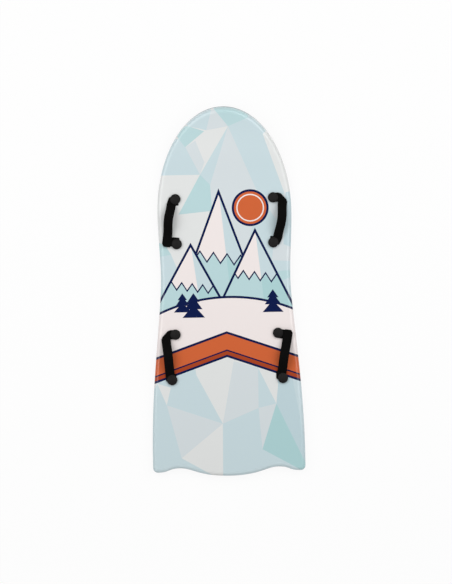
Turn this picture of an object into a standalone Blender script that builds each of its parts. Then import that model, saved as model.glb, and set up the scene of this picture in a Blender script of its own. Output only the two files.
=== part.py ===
"""Two-rider foam slider sled.

A foam core sits between a printed deck skin, which wraps over the rails, and a slick base
sheet. Four webbing handles are held by round plastic rivets that screw into flanged nuts.
+Y points to the nose, +Z is up, and the flat of the base rests on Z = 0.
"""

import math

import bmesh
import bpy
from mathutils import Vector
from mathutils.geometry import interpolate_bezier

# Board outline, seen from above
board_length = 1.200
nose_half_width = 0.218
shoulder_y = 0.256
waist_half_width = 0.2105
waist_y = 0.048
tail_half_width = 0.248
tail_side_y = -0.537
tail_corner_radius = 0.016
tail_corner_y = -0.586
trough_x = 0.160
trough_y = -0.573
lobe_flat = 0.100
trough_flat = 0.040
neck_flat = 0.070
waist_flat = 0.117
tail_side_flat = 0.257

# Board section
board_thickness = 0.040
rail_radius = 0.012
parting_height = 0.014
deck_wall = 0.003
base_wall = 0.0025

# Turned-up nose
nose_bend_start = 0.325
nose_bend_radius = 0.780

# Rivets and nuts
rivet_inset = 0.0575
front_rivet_y = 0.302
middle_rivet_y = 0.156
waist_rivet_y = -0.138
tail_rivet_y = -0.285
head_radius = 0.0168
head_rim = 0.0022
head_dome = 0.0030
stem_radius = 0.0040
stem_end_height = 0.0100
sleeve_radius = 0.0060
flange_radius = 0.0150
flange_thickness = 0.0025
flange_recess = 0.0004
boss_radius = 0.0190
boss_web = 0.0025

# Webbing handles
webbing_width = 0.030
webbing_thickness = 0.0022
fold_tab_back = 0.0052
fold_hem_reach = 0.0100
end_tab_back = 0.0040
end_hem_reach = 0.0220
hole_margin = 0.0040
stub_length = 0.0160
pinched_width = 0.022
crest_rise = 0.0210
full_width_rise = 0.0126
front_left_lean = 9.0
front_right_lean = 14.0
rear_left_lean = -3.0
rear_right_lean = -4.0
front_left_tilt = 6.0
front_right_tilt = -3.0
rear_left_tilt = 4.0
rear_right_tilt = 16.0
front_left_slant = -5.0
front_right_slant = -5.0
rear_left_slant = -7.0
rear_right_slant = -5.0
front_left_tab_shift = 0.0065
front_right_tab_shift = 0.0
rear_left_tab_shift = 0.0
rear_right_tab_shift = 0.0015
front_left_end_shift = 0.0110
front_right_end_shift = 0.0120
rear_left_end_shift = 0.0050
rear_right_end_shift = -0.0060
mitred_handles = ("front_left", "rear_right")

# Fits
gap = 0.0003
bore_clearance = 0.0003
swing_clearance = 0.0008
fold_clearance = 0.0005

# Facets
rivet_steps = 20
hole_steps = 16
rail_steps = 2
fold_steps = 4
rise_steps = 5
loop_steps = 16
dome_steps = 4
sharp_angle = 40

# Sizes that follow from the ones above
half_length = board_length / 2
rounding_start = half_length - nose_bend_start - rail_radius
nose_angle = math.asin(rounding_start / (nose_bend_radius - rail_radius))
flat_tip = nose_bend_start + nose_bend_radius * nose_angle + rail_radius
half_web = webbing_width / 2
half_pinch = pinched_width / 2
axis_height = half_pinch + webbing_thickness / 2 + swing_clearance
layer_step = webbing_thickness + gap
head_seat = board_thickness + 2 * layer_step + gap
flange_top = flange_recess + flange_thickness
boss_top = flange_top + gap + boss_web
up = Vector((0, 0, 1))

# Bezier handle length for a quarter circle of radius 1
quarter_circle = 0.5523


def clear_scene():
    for obj in list(bpy.data.objects):
        bpy.data.objects.remove(obj, do_unlink=True)
    for collection in list(bpy.data.collections):
        bpy.data.collections.remove(collection)


def make_collection(name):
    collection = bpy.data.collections.new(name)
    bpy.context.scene.collection.children.link(collection)
    return collection


def make_material(name, colour, roughness):
    material = bpy.data.materials.new(name)
    material.use_nodes = True
    shader = material.node_tree.nodes["Principled BSDF"]
    shader.inputs["Base Color"].default_value = (*colour, 1.0)
    shader.inputs["Roughness"].default_value = roughness
    shader.inputs["Metallic"].default_value = 0.0
    return material


def add_piece(name, mesh, material):
    obj = bpy.data.objects.new(name, mesh)
    mesh.materials.clear()
    mesh.materials.append(material)
    pieces.objects.link(obj)
    return obj


def read_mesh(obj):
    """The object's mesh with its modifiers applied."""
    depsgraph = bpy.context.evaluated_depsgraph_get()
    return bpy.data.meshes.new_from_object(obj.evaluated_get(depsgraph))


def span(start, start_handle, end_handle, end, count):
    """Points along one Bezier span, without its last point."""
    corners = [Vector((x, y, 0)) for x, y in (start, start_handle, end_handle, end)]
    return interpolate_bezier(*corners, count + 1)[:-1]


def board_outline():
    """The flat outline: the right half from the nose tip to the tail lobe, then its mirror."""
    nose_length = flat_tip - shoulder_y
    shoulder = (nose_half_width, shoulder_y)
    waist = (waist_half_width, waist_y)
    tail_side = (tail_half_width, tail_side_y)
    round_start = (tail_half_width, tail_corner_y + tail_corner_radius)
    round_end = (tail_half_width - tail_corner_radius, tail_corner_y)
    trough = (trough_x, trough_y)
    lobe = (0, -half_length)
    turn = quarter_circle * tail_corner_radius
    half = span(
        (0, flat_tip), (quarter_circle * nose_half_width, flat_tip),
        (nose_half_width, shoulder_y + quarter_circle * nose_length), shoulder, 15)
    half += span(
        shoulder, (nose_half_width, shoulder_y - neck_flat),
        (waist_half_width, waist_y + neck_flat), waist, 4)
    half += span(
        waist, (waist_half_width, waist_y - waist_flat),
        (tail_half_width, tail_side_y + tail_side_flat), tail_side, 6)
    half += [Vector((*tail_side, 0))]
    half += span(
        round_start, (tail_half_width, round_start[1] - turn),
        (round_end[0] + turn, tail_corner_y), round_end, 3)
    half += span(
        round_end, (round_end[0] - trough_flat, tail_corner_y),
        (trough_x + trough_flat, trough_y), trough, 4)
    half += span(
        trough, (trough_x - trough_flat, trough_y),
        (lobe_flat, -half_length), lobe, 6)
    half += [Vector((*lobe, 0))]
    mirrored = [Vector((-p.x, p.y, 0)) for p in half[-2:0:-1]]
    return half + mirrored


def rounded_slab(name, inset, z_low, z_high, edge_radius):
    """The outline drawn in by inset, as a slab with round edges."""
    curve = bpy.data.curves.new(name, "CURVE")
    curve.dimensions = "2D"
    curve.fill_mode = "BOTH"
    curve.bevel_depth = edge_radius
    curve.bevel_resolution = rail_steps
    curve.extrude = (z_high - z_low) / 2 - edge_radius
    curve.offset = -(inset + edge_radius)
    outline = board_outline()
    spline = curve.splines.new("POLY")
    spline.points.add(len(outline) - 1)
    for point, place in zip(spline.points, outline):
        point.co = (place.x, place.y, 0, 1)
    spline.use_cyclic_u = True
    guide = bpy.data.objects.new(name + "_curve", curve)
    pieces.objects.link(guide)
    mesh = read_mesh(guide)
    bpy.data.objects.remove(guide)
    bpy.data.curves.remove(curve)
    slab = bmesh.new()
    slab.from_mesh(mesh)
    bmesh.ops.remove_doubles(slab, verts=slab.verts, dist=0.00002)
    bmesh.ops.translate(slab, verts=slab.verts, vec=up * (z_low + z_high) / 2)
    bmesh.ops.recalc_face_normals(slab, faces=slab.faces)
    make_strips(slab)
    slab.to_mesh(mesh)
    slab.free()
    return mesh


def make_strips(slab):
    """Clear the flat faces' triangles, then cut strips across the part that bends."""
    flat = [e for e in slab.edges if all(abs(f.normal.z) > 0.9999 for f in e.link_faces)]
    bmesh.ops.dissolve_edges(slab, edges=flat)
    caps = [f for f in slab.faces if abs(f.normal.z) > 0.9999]
    rows = sorted({round(v.co.y, 6) for f in caps for v in f.verts})
    for row in rows:
        if row < nose_bend_start or row > rows[-1] - 0.0005:
            continue
        caps = [f for f in slab.faces if abs(f.normal.z) > 0.9999]
        edges = {e for f in caps for e in f.edges}
        verts = {v for f in caps for v in f.verts}
        bmesh.ops.bisect_plane(
            slab, geom=[*caps, *edges, *verts], dist=0.0001,
            plane_co=(0, row, 0), plane_no=(0, 1, 0))


def cut_level(mesh, height, keep_top):
    """Open the slab at a height and keep one side."""
    slab = bmesh.new()
    slab.from_mesh(mesh)
    bmesh.ops.bisect_plane(
        slab, geom=[*slab.faces, *slab.edges, *slab.verts], dist=0.00001,
        plane_co=(0, 0, height), plane_no=up,
        clear_inner=keep_top, clear_outer=not keep_top)
    slab.to_mesh(mesh)
    slab.free()


def make_shell(mesh, wall):
    """Give the open surface its wall, inwards."""
    shell = bpy.data.objects.new("shell", mesh)
    pieces.objects.link(shell)
    solidify = shell.modifiers.new("wall", "SOLIDIFY")
    solidify.thickness = wall
    solidify.offset = -1
    solidify.use_even_offset = True
    walled = read_mesh(shell)
    bpy.data.objects.remove(shell)
    bpy.data.meshes.remove(mesh)
    return walled


def bend_nose(mesh):
    """Turn everything ahead of the bend line up on one radius, measured on the base."""
    for vertex in mesh.vertices:
        ahead = vertex.co.y - nose_bend_start
        if ahead > 0:
            angle = ahead / nose_bend_radius
            radius = nose_bend_radius - vertex.co.z
            vertex.co.y = nose_bend_start + radius * math.sin(angle)
            vertex.co.z = nose_bend_radius - radius * math.cos(angle)


def shade(obj):
    obj.data.shade_smooth()
    obj.data.set_sharp_from_angle(angle=math.radians(sharp_angle))


def right_rivet(y):
    """A rivet's place on the right side, a fixed distance in from the board's edge."""
    right = [p for p in board_outline() if p.x > 0]
    for ahead, behind in zip(right, right[1:]):
        if ahead.y >= y >= behind.y:
            edge = ahead.lerp(behind, (ahead.y - y) / (ahead.y - behind.y))
            return Vector((edge.x - rivet_inset, y, 0))


def handle_facts():
    """Each handle's fold rivet and end rivet, its three angles, and its tab's and end's shifts."""
    front = right_rivet(front_rivet_y)
    middle = right_rivet(middle_rivet_y)
    waist = right_rivet(waist_rivet_y)
    tail = right_rivet(tail_rivet_y)
    flip = Vector((-1, 1, 1))
    return {
        "front_left": (
            middle * flip, front * flip, front_left_lean, front_left_tilt, front_left_slant,
            front_left_tab_shift, front_left_end_shift),
        "front_right": (
            front, middle, front_right_lean, front_right_tilt, front_right_slant,
            front_right_tab_shift, front_right_end_shift),
        "rear_left": (
            waist * flip, tail * flip, rear_left_lean, rear_left_tilt, rear_left_slant,
            rear_left_tab_shift, rear_left_end_shift),
        "rear_right": (
            waist, tail, rear_right_lean, rear_right_tilt, rear_right_slant,
            rear_right_tab_shift, rear_right_end_shift),
    }


def all_rivets():
    return [place for facts in handle_facts().values() for place in facts[:2]]


def make_plugs(name, radius, z_low, z_high):
    """One round plug at each rivet, as a single cutter."""
    plugs = bmesh.new()
    for place in all_rivets():
        disc = bmesh.ops.create_cone(
            plugs, cap_ends=True, segments=hole_steps, radius1=radius, radius2=radius,
            depth=z_high - z_low)
        shift = place + up * (z_low + z_high) / 2
        bmesh.ops.translate(plugs, verts=disc["verts"], vec=shift)
    mesh = bpy.data.meshes.new(name)
    plugs.to_mesh(mesh)
    plugs.free()
    obj = bpy.data.objects.new(name, mesh)
    obj.hide_render = True
    obj.display_type = "WIRE"
    cutters.objects.link(obj)
    return obj


def cut(obj, cutter, operation="DIFFERENCE"):
    boolean = obj.modifiers.new(cutter.name, "BOOLEAN")
    boolean.operation = operation
    boolean.object = cutter


def make_deck_skin():
    mesh = rounded_slab("deck_skin", 0, 0, board_thickness, rail_radius)
    cut_level(mesh, parting_height + gap / 2, True)
    mesh = make_shell(mesh, deck_wall)
    bend_nose(mesh)
    skin = add_piece("deck_skin", mesh, print_film)
    hole = sleeve_radius + bore_clearance
    cut(skin, make_plugs("deck_holes", hole, board_thickness / 2, board_thickness * 1.5))
    shade(skin)


def make_slick_base():
    mesh = rounded_slab("slick_base", 0, 0, board_thickness, rail_radius)
    cut_level(mesh, parting_height - gap / 2, False)
    mesh = make_shell(mesh, base_wall)
    bend_nose(mesh)
    base = add_piece("slick_base", mesh, slick_plastic)
    below = -board_thickness / 4
    recess_radius = flange_radius + bore_clearance
    hole = sleeve_radius + bore_clearance
    cut(base, make_plugs("base_bosses", boss_radius, base_wall / 2, boss_top), "UNION")
    cut(base, make_plugs("base_recesses", recess_radius, below, flange_top + gap))
    cut(base, make_plugs("base_holes", hole, below, board_thickness / 2))
    shade(base)


def make_foam_core():
    inset = max(deck_wall, base_wall) + gap
    mesh = rounded_slab(
        "foam_core", inset, base_wall + gap, board_thickness - deck_wall - gap,
        rail_radius - inset)
    bend_nose(mesh)
    core = add_piece("foam_core", mesh, foam)
    below = -board_thickness / 4
    hole = sleeve_radius + bore_clearance
    pocket = boss_radius + bore_clearance
    cut(core, make_plugs("core_pockets", pocket, below, boss_top + gap))
    cut(core, make_plugs("core_holes", hole, below, board_thickness * 1.5))
    shade(core)


def turn_profile(name, profile, steps, place, material):
    """A turned piece from a profile of radius and height that starts and ends on the axis."""
    mesh = bpy.data.meshes.new(name)
    points = [(radius, 0, height) for radius, height in profile]
    mesh.from_pydata(points, [(i, i + 1) for i in range(len(points) - 1)], [])
    obj = add_piece(name, mesh, material)
    obj.location = place
    screw = obj.modifiers.new("turn", "SCREW")
    screw.steps = steps
    screw.render_steps = steps
    screw.use_merge_vertices = True
    screw.merge_threshold = 0.0001
    screw.use_smooth_shade = True
    return obj


def make_rivet(name, place):
    """A domed head on the webbing, with a stem down into the nut."""
    profile = []
    for step in range(dome_steps + 1):
        share = step / dome_steps
        height = head_rim + head_dome * (1 - share ** 2)
        profile.append((head_radius * share, height))
    stem_end = stem_end_height - head_seat
    profile += [(head_radius, 0), (stem_radius, 0), (stem_radius, stem_end), (0, stem_end)]
    turn_profile(name, profile, rivet_steps, place + up * head_seat, rivet_plastic)


def make_nut(name, place):
    """A wide flange in the base, with a sleeve up to the deck and a blind bore."""
    bore_radius = stem_radius + bore_clearance
    bore_end = stem_end_height - gap
    edge = flange_thickness / 4
    profile = [
        (0, bore_end),
        (bore_radius, bore_end),
        (bore_radius, board_thickness),
        (sleeve_radius, board_thickness),
        (sleeve_radius, flange_top),
        (flange_radius, flange_top),
        (flange_radius, flange_recess + edge),
        (flange_radius - edge, flange_recess),
        (0, flange_recess),
    ]
    turn_profile(name, profile, hole_steps, place, nut_plastic)


def section(centre, side, lift, half_width, half_depth):
    """The four corners of the webbing at one place along it."""
    return [
        centre + side * half_width + lift * half_depth,
        centre - side * half_width + lift * half_depth,
        centre - side * half_width - lift * half_depth,
        centre + side * half_width - lift * half_depth,
    ]


def loft(name, sections, origin):
    """A closed strip of webbing through its sections, with its origin at a given place."""
    strip = bmesh.new()
    rings = [[strip.verts.new(corner - origin) for corner in ring] for ring in sections]
    for near, far in zip(rings, rings[1:]):
        for i in range(4):
            j = (i + 1) % 4
            strip.faces.new((near[i], near[j], far[j], far[i]))
    strip.faces.new(reversed(rings[0]))
    strip.faces.new(rings[-1])
    if strip.calc_volume(signed=True) < 0:
        bmesh.ops.reverse_faces(strip, faces=strip.faces)
    mesh = bpy.data.meshes.new(name)
    strip.to_mesh(mesh)
    strip.free()
    obj = add_piece(name, mesh, webbing)
    obj.location = origin
    shade(obj)
    return obj


def fold_sections(edge, outward, side, half_length_of_fold, height, face=1):
    """Sections round a flat fold, from the layer at this height to the one above it.

    The webbing's face is 1 where it looks up before the fold, and -1 where it looks down.
    """
    turn_radius = layer_step / 2
    rings = []
    for step in range(fold_steps + 1):
        angle = math.pi * step / fold_steps
        away = outward * math.sin(angle) - up * math.cos(angle)
        centre = edge + up * (height + turn_radius) + away * turn_radius
        lift = away * -face
        rings.append(section(centre, side, lift, half_length_of_fold, webbing_thickness / 2))
    return rings


def rise_sections(start, along, side, lift, low, lean):
    """Sections of the webbing from flat up to the end of the loop, which it meets leaning."""
    rings = []
    for step in range(1, rise_steps + 1):
        share = step / rise_steps
        centre = start + along * stub_length * share
        centre += up * (low + (board_thickness + axis_height - low) * share ** 1.5)
        width = half_web + (half_pinch - half_web) * share
        turn = math.radians(lean) * share
        tilted_side = side * math.cos(turn) - up * math.sin(turn)
        across = side * math.sin(turn) + up * math.cos(turn)
        tilted_lift = across if lift.z > 0 else -across
        rings.append(section(centre, tilted_side, tilted_lift, width, webbing_thickness / 2))
    return rings


class Handle:
    """The plan of one handle, from its two rivets.

    The tab leaves the fold rivet outboard, tilted towards the end rivet. The strip then folds
    over a crease that halves the angle to its new direction, which just clears the rivet's head.
    A mitred strip folds away from the end rivet first, and then back over a straight crease.
    The hem under the end rivet is folded on a slant, so its corner peeps out beside the strip.
    A shift moves the webbing's middle off the rivet: the tab's towards the end rivet, the end's
    outboard. Under the end rivet the strip is drawn back, so the stem's hole keeps its margin.
    """

    def __init__(
            self, fold_rivet, end_rivet, lean, tilt, slant, tab_shift, end_shift, mitred):
        self.mitred = mitred
        self.fold_rivet = fold_rivet
        self.end_rivet = end_rivet
        self.lean = lean
        spacing = (end_rivet - fold_rivet).length
        towards_end = (end_rivet - fold_rivet) / spacing
        outboard = towards_end.cross(up)
        if outboard.x * fold_rivet.x < 0:
            outboard = -outboard
        tilt = math.radians(tilt)
        self.tab_along = outboard * math.cos(tilt) + towards_end * math.sin(tilt)
        self.tab_side = towards_end * math.cos(tilt) - outboard * math.sin(tilt)
        self.tab_middle = fold_rivet + self.tab_side * tab_shift
        clear_of_head = head_radius + half_web + fold_clearance
        angle = math.asin((clear_of_head - end_shift) / spacing)
        self.along = towards_end * math.cos(angle) - outboard * math.sin(angle)
        self.side = towards_end * math.sin(angle) + outboard * math.cos(angle)
        off_line = clear_of_head - (self.tab_middle - fold_rivet).dot(self.side)
        self.fold = self.tab_middle + self.tab_along * off_line / self.tab_along.dot(self.side)
        turned = -self.along if mitred else self.along
        crease = (self.tab_along + turned).normalized()
        share = crease.dot(turned)
        self.crease = -crease if mitred else crease
        self.crease_out = (self.tab_along - turned).normalized()
        self.crease_half = half_web / math.sqrt(1 - share ** 2)
        fold_flat = self.crease_half * share + fold_clearance
        self.back_edge = self.fold - self.along * fold_flat
        self.fold_rise = self.fold + self.along * fold_flat
        held_shift = half_web - stem_radius - bore_clearance - hole_margin
        self.end_middle = end_rivet + self.side * max(-held_shift, min(end_shift, held_shift))
        before_head = self.along * (head_radius + fold_clearance)
        self.end_rise = end_rivet + self.side * end_shift - before_head
        level = up * (board_thickness + axis_height)
        self.fold_pivot = self.fold_rise + self.along * stub_length + level
        self.end_pivot = self.end_rise - self.along * stub_length + level
        slant = math.radians(slant)
        self.hem_crease = self.side * math.cos(slant) + self.along * math.sin(slant)
        self.hem_out = self.along * math.cos(slant) - self.side * math.sin(slant)
        self.hem_half = half_web / math.cos(slant)
        self.hem_along = self.side * math.sin(2 * slant) - self.along * math.cos(2 * slant)
        self.hem_side = self.side * math.cos(2 * slant) + self.along * math.sin(2 * slant)


def cut_stem_hole(tab, name, place):
    hole = bmesh.new()
    low = board_thickness / 2
    high = board_thickness + 6 * layer_step
    bmesh.ops.create_cone(
        hole, cap_ends=True, segments=hole_steps,
        radius1=stem_radius + bore_clearance, radius2=stem_radius + bore_clearance,
        depth=high - low)
    mesh = bpy.data.meshes.new(name)
    hole.to_mesh(mesh)
    hole.free()
    cutter = bpy.data.objects.new(name, mesh)
    cutter.location = place + up * (low + high) / 2
    cutter.hide_render = True
    cutter.display_type = "WIRE"
    cutters.objects.link(cutter)
    cut(tab, cutter)


def make_fold_tab(name, handle):
    """Hemmed under its rivet, out to the diagonal fold, then up to the loop."""
    first = board_thickness + gap + webbing_thickness / 2
    second = first + layer_step
    top = second + layer_step
    half_depth = webbing_thickness / 2
    hem_start = handle.tab_middle + handle.tab_along * fold_hem_reach + up * first
    hem_edge = handle.tab_middle - handle.tab_along * fold_tab_back
    side = handle.tab_side
    rings = [section(hem_start, side, up, half_web, half_depth)]
    rings += fold_sections(hem_edge, -handle.tab_along, side, half_web, first)
    rings += fold_sections(
        handle.fold, handle.crease_out, handle.crease, handle.crease_half, second, face=-1)
    side, face, lean = handle.side, up, handle.lean
    if handle.mitred:
        side, face, lean = -side, -up, -lean
        rings += fold_sections(handle.back_edge, -handle.along, side, half_web, top)
        top += layer_step
    rings.append(section(handle.fold_rise + up * top, side, face, half_web, half_depth))
    rings += rise_sections(handle.fold_rise, handle.along, side, face, top, lean)
    end_trim = handle.along * gap / 2
    rings[-1] = [corner - end_trim for corner in rings[-1]]
    tab = loft(name, rings, handle.fold_rivet + up * board_thickness)
    cut_stem_hole(tab, name + "_hole", handle.fold_rivet)


def make_end_tab(name, handle):
    """Hemmed under its rivet, then straight up to the loop."""
    first = board_thickness + gap + webbing_thickness / 2
    second = first + layer_step
    half_depth = webbing_thickness / 2
    inward = -handle.along
    hem_edge = handle.end_middle - inward * end_tab_back
    hem_start = hem_edge + handle.hem_along * (end_tab_back + end_hem_reach) + up * first
    rings = [section(hem_start, handle.hem_side, up, half_web, half_depth)]
    rings += fold_sections(
        hem_edge, handle.hem_out, handle.hem_crease, handle.hem_half, first)
    rings.append(
        section(handle.end_rise + up * second, handle.side, -up, half_web, half_depth))
    rings += rise_sections(handle.end_rise, inward, handle.side, -up, second, handle.lean)
    end_trim = inward * gap / 2
    rings[-1] = [corner - end_trim for corner in rings[-1]]
    tab = loft(name, rings, handle.end_rivet + up * board_thickness)
    cut_stem_hole(tab, name + "_hole", handle.end_rivet)


def make_loop(name, handle):
    """The arch that the hand holds, which swings on the line between its two ends."""
    length = (handle.end_pivot - handle.fold_pivot).length
    lean = math.radians(handle.lean)
    rise = handle.side * math.sin(lean) + up * math.cos(lean)
    side = handle.side * math.cos(lean) - up * math.sin(lean)
    rings = []
    for step in range(loop_steps + 1):
        along = gap / 2 + (length - gap) * step / loop_steps
        height = crest_rise * math.sin(math.pi * along / length)
        share = min(1, height / full_width_rise)
        width = half_pinch + (half_web - half_pinch) * share * share * (3 - 2 * share)
        slope = crest_rise * math.pi / length * math.cos(math.pi * along / length)
        half_depth = webbing_thickness / 2 * math.sqrt(1 + slope ** 2)
        centre = handle.fold_pivot + handle.along * along + rise * height
        rings.append(section(centre, side, rise, width, half_depth))
    loft(name, rings, handle.fold_pivot)


clear_scene()
pieces = make_collection("foam_slider_sled")
cutters = make_collection("cutters")
print_film = make_material("print_film", (0.62, 0.77, 0.80), 0.32)
slick_plastic = make_material("slick_plastic", (0.10, 0.13, 0.15), 0.35)
foam = make_material("foam", (0.85, 0.87, 0.88), 0.90)
webbing = make_material("webbing", (0.012, 0.012, 0.013), 0.85)
rivet_plastic = make_material("rivet_plastic", (0.045, 0.043, 0.043), 0.55)
nut_plastic = make_material("nut_plastic", (0.045, 0.043, 0.043), 0.50)

make_foam_core()
make_deck_skin()
make_slick_base()
for corner_name, facts in handle_facts().items():
    fold_place, end_place = facts[:2]
    plan = Handle(*facts, corner_name in mitred_handles)
    make_loop(corner_name + "_loop", plan)
    make_fold_tab(corner_name + "_fold_tab", plan)
    make_end_tab(corner_name + "_end_tab", plan)
    make_rivet(corner_name + "_fold_rivet", fold_place)
    make_rivet(corner_name + "_end_rivet", end_place)
    make_nut(corner_name + "_fold_nut", fold_place)
    make_nut(corner_name + "_end_nut", end_place)
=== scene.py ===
# %% [markdown]
# # Dressing a two-rider foam slider sled
#
# A foam slider is a flat snow sled: a long foam board with a printed deck film on top and a slick
# plastic sheet below. Its nose turns up a little, and four webbing handles are riveted through it.
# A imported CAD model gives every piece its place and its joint. This file gives each piece its fine
# shape and its finish, and each step says what it makes and why.

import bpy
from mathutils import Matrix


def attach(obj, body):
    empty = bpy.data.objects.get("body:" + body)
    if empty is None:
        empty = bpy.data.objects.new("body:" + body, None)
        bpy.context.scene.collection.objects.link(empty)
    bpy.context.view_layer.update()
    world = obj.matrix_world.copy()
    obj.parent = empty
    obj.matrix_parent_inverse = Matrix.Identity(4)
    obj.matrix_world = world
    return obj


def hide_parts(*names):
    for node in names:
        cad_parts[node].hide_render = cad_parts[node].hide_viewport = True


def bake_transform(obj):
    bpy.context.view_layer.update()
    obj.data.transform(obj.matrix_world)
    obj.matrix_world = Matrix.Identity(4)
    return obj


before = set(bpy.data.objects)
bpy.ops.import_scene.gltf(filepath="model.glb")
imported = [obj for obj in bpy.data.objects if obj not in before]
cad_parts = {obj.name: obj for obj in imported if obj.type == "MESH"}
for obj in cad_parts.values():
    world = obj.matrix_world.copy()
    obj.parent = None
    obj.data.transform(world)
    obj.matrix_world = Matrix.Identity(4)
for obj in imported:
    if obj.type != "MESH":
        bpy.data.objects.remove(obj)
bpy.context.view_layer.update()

# %% Blender's modules, and millimetres
import math

import bmesh
import bpy
from mathutils import Matrix, Vector
from mathutils.geometry import interpolate_bezier

mm = 0.001
up = Vector((0, 0, 1))

# %% [markdown]
# ## Working in edit mode from code
#
# A modelling operator acts on whatever is selected, and the CAD pieces arrive selected. So each new
# piece starts with nothing selected, and its faces or edges are then picked by a test on their
# place or direction. That is what a click does, but the result is the same every time.

# %% Helpers that pick and finish


def deselect():
    for obj in bpy.context.selected_objects:
        obj.select_set(False)


def select_only(obj):
    deselect()
    bpy.context.view_layer.objects.active = obj
    obj.select_set(True)


def edit(obj):
    select_only(obj)
    bpy.ops.object.mode_set(mode="EDIT")


def leave_edit():
    bpy.ops.object.mode_set(mode="OBJECT")


def pick_all():
    bpy.ops.mesh.select_all(action="SELECT")


def pick(obj, kind, test):
    """In edit mode, select only the edges or faces that pass the test."""
    bpy.ops.mesh.select_mode(type={"edges": "EDGE", "faces": "FACE"}[kind])
    bpy.ops.mesh.select_all(action="DESELECT")
    mesh = bmesh.from_edit_mesh(obj.data)
    for part in getattr(mesh, kind):
        if test(part):
            part.select_set(True)
    bmesh.update_edit_mesh(obj.data)


def apply_modifier(obj, kind, **settings):
    select_only(obj)
    modifier = obj.modifiers.new(kind.lower(), kind)
    for name, value in settings.items():
        setattr(modifier, name, value)
    bpy.ops.object.modifier_apply(modifier=modifier.name)


def thicken(obj, wall, offset):
    """Solidify: an offset of -1 thickens inwards, and 0 to both sides."""
    apply_modifier(obj, "SOLIDIFY", thickness=wall, offset=offset, use_even_offset=True)


def soften(obj, width, segments, degrees):
    """Bevel the edges where the faces turn by more than so many degrees."""
    apply_modifier(
        obj, "BEVEL", width=width, segments=segments, limit_method="ANGLE",
        angle_limit=math.radians(degrees))


def smooth(obj, degrees):
    select_only(obj)
    bpy.ops.object.shade_smooth_by_angle(angle=math.radians(degrees))


def copy_of(obj, name):
    """A copy with its own mesh."""
    copy = obj.copy()
    copy.data = obj.data.copy()
    copy.name = copy.data.name = name
    bpy.context.collection.objects.link(copy)
    return copy


def discard(obj):
    bpy.data.objects.remove(obj, do_unlink=True)


def count(obj):
    triangles = sum(len(face.vertices) - 2 for face in obj.data.polygons)
    return f"{obj.name}: {triangles} triangles"


# %% [markdown]
# ## The board's outline
#
# Seen from above, the sled has a half-ellipse nose, a waist, a wide tail with small round corners,
# and three shallow lobes at the back. Each stretch between two of those features is one Bezier
# span, the same spans that the CAD uses, but read at many more points, so that the edge looks
# round from close by. A size that ends in flat is the distance from a span's end to its control
# point. Only the right half is drawn. The left half mirrors it.

# %% Sizes of the board, in metres
half_length = 0.600
nose_half_width = 0.218
shoulder_y = 0.256
waist_half_width = 0.2105
waist_y = 0.048
tail_half_width = 0.248
tail_side_y = -0.537
tail_corner_radius = 0.016
tail_corner_y = -0.586
trough = (0.160, -0.573)
neck_flat = 0.070
waist_flat = 0.117
tail_side_flat = 0.257
trough_flat = 0.040
lobe_flat = 0.100
thickness = 0.040
rail_radius = 0.012
parting_height = 0.014
deck_wall = 0.003
base_wall = 0.0025
bend_start = 0.325
bend_radius = 0.780
gap = 0.0003
rounding_start = half_length - bend_start - rail_radius
nose_angle = math.asin(rounding_start / (bend_radius - rail_radius))
flat_tip = bend_start + bend_radius * nose_angle + rail_radius
print(f"the flat blank reaches {flat_tip * 1000:.1f} mm forward, before the nose is turned up")

# %% Trace the outline


def span(start, start_handle, end_handle, end, points):
    corners = [Vector((x, y, 0)) for x, y in (start, start_handle, end_handle, end)]
    return interpolate_bezier(*corners, points + 1)[:-1]


def trace_outline():
    round_part = 0.5523
    nose = flat_tip - shoulder_y
    shoulder = (nose_half_width, shoulder_y)
    waist = (waist_half_width, waist_y)
    side = (tail_half_width, tail_side_y)
    turn = round_part * tail_corner_radius
    corner_in = (tail_half_width, tail_corner_y + tail_corner_radius)
    corner_out = (tail_half_width - tail_corner_radius, tail_corner_y)
    half = span(
        (0, flat_tip), (round_part * nose_half_width, flat_tip),
        (nose_half_width, shoulder_y + round_part * nose), shoulder, 60)
    half += span(
        shoulder, (nose_half_width, shoulder_y - neck_flat),
        (waist_half_width, waist_y + neck_flat), waist, 14)
    half += span(
        waist, (waist_half_width, waist_y - waist_flat),
        (tail_half_width, tail_side_y + tail_side_flat), side, 24)
    half += [Vector((*side, 0))]
    half += span(
        corner_in, (tail_half_width, corner_in[1] - turn),
        (corner_out[0] + turn, tail_corner_y), corner_out, 9)
    half += span(
        corner_out, (corner_out[0] - trough_flat, tail_corner_y),
        (trough[0] + trough_flat, trough[1]), trough, 12)
    half += span(
        trough, (trough[0] - trough_flat, trough[1]),
        (lobe_flat, -half_length), (0, -half_length), 18)
    half += [Vector((0, -half_length, 0))]
    return half + [Vector((-p.x, p.y, 0)) for p in half[-2:0:-1]]


outline = trace_outline()
print(f"{len(outline)} points round the board")


def edge_at(y):
    """How far the board's edge is from its middle, at this place along it."""
    right = [p for p in outline if p.x > 0]
    for ahead, behind in zip(right, right[1:]):
        if ahead.y >= y >= behind.y:
            return ahead.lerp(behind, (ahead.y - y) / (ahead.y - behind.y)).x


# %% [markdown]
# ## Where the rivets go
#
# Eight rivets clamp the webbing, all at one distance in from the board's edge. Each handle has one
# rivet where the webbing is folded over diagonally, and one where it runs straight in. On the
# front left handle the fold is at the rear rivet, and on the other three it is at the front one.
# No two handles sit alike. The lean is how far the arch leans outboard, the tilt turns the short
# stretch under the fold rivet, the slant turns the last hem, and the two shifts move the webbing
# sideways under each rivet.

# %% Each handle's rivets, its lean, tilt and slant in degrees, and its shifts in mm
rivet_inset = 0.0575


def on_right(y):
    return Vector((edge_at(y) - rivet_inset, y, 0))


def on_left(y):
    return Vector((rivet_inset - edge_at(y), y, 0))


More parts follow.
